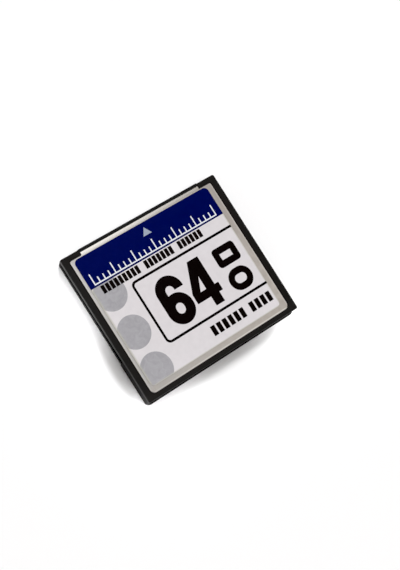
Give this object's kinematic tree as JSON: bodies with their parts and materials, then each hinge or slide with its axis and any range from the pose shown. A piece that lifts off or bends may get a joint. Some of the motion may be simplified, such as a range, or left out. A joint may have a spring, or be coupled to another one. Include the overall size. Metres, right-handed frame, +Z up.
{
  "type": "flash memory card",
  "caption": "Thin flat memory card: black frame with side guide slots, steel covers, a printed label and a socket connector along one edge.",
  "frame": {"origin": "middle of the card's outline on its underside", "axes": "+X along the connector edge, to the right seen from above; +Y towards the connector; +Z up through the label"},
  "size_m": [0.0428, 0.0364, 0.0033],
  "materials": {
    "frame_plastic": "fine moulded satin black",
    "connector_plastic": "moulded black, slightly smoother",
    "cover_steel": "satin stainless sheet",
    "label_film": "printed white film, satin",
    "ink_blue": "dark blue ink on the label",
    "ink_black": "black ink on the label",
    "ink_grey": "light grey ink on the label",
    "ink_white": "white ink on the label",
    "contact_gold": "gold flashed",
    "board_laminate": "green solder mask",
    "chip_resin": "moulded resin",
    "tinned_lead": "tinned copper alloy",
    "crystal_ceramic": "fired ceramic",
    "crystal_steel": "plated steel can",
    "tantalum_resin": "moulded resin",
    "capacitor_ceramic": "fired ceramic",
    "resistor_ceramic": "glazed ceramic",
    "ferrite": "sintered ferrite"
  },
  "bodies": {
    "root": {"upper_frame": "frame_plastic", "lower_frame": "frame_plastic", "top_cover": "cover_steel", "bottom_cover": "cover_steel", "front_label": "label_film", "connector_housing": "connector_plastic", "upper_contacts": "contact_gold", "lower_contacts": "contact_gold", "circuit_board": "board_laminate", "rear_flash_chip": "chip_resin", "front_flash_chip": "chip_resin", "rear_flash_leads": "tinned_lead", "front_flash_leads": "tinned_lead", "controller_chip": "chip_resin", "controller_leads": "tinned_lead", "crystal_base": "crystal_ceramic", "crystal_can": "crystal_steel", "voltage_regulator": "chip_resin", "regulator_leads": "tinned_lead", "tantalum_capacitor": "tantalum_resin", "ceramic_capacitors": "capacitor_ceramic", "resistors": "resistor_ceramic", "resistor_networks": "resistor_ceramic", "ferrite_bead": "ferrite"}
  },
  "joints": []
}
